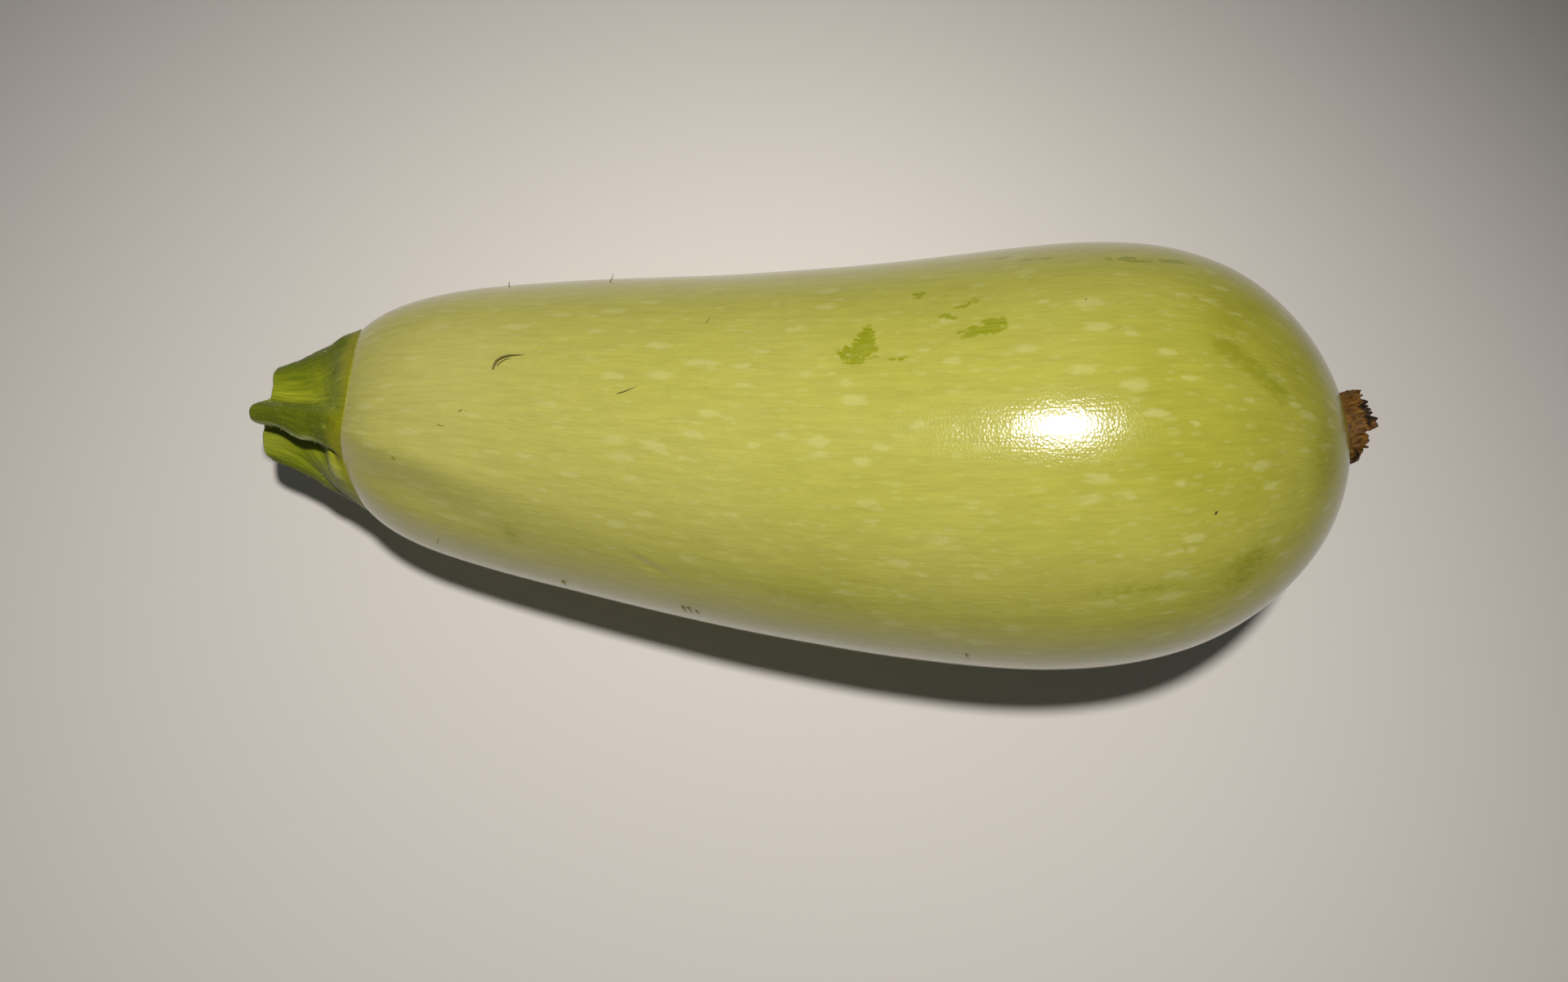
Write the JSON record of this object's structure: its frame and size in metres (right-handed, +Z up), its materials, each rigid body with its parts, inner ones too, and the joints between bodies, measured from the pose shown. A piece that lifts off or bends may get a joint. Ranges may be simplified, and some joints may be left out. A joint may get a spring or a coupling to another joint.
{
  "type": "courgette",
  "caption": "Whole pale green courgette, club-shaped and slightly bowed, with its ridged stem stub and the dried remains of the flower, lying on its side.",
  "frame": {"origin": "middle of the bounding box on the surface that the courgette lies on", "axes": "+Z up; +X along the courgette, from the stem to the flower; +Y across it, towards the hollow side of its bow"},
  "size_m": [0.2054, 0.077, 0.0769],
  "materials": {
    "skin": "waxy, satin, pale yellow-green with paler flecks",
    "stem": "green, fibrous, slightly glossy, with short hairs",
    "dried_petals": "dry, brown, matte, shrivelled"
  },
  "bodies": {
    "root": {"fruit": "skin", "stem": "stem", "dried_flower": "dried_petals"}
  },
  "joints": []
}
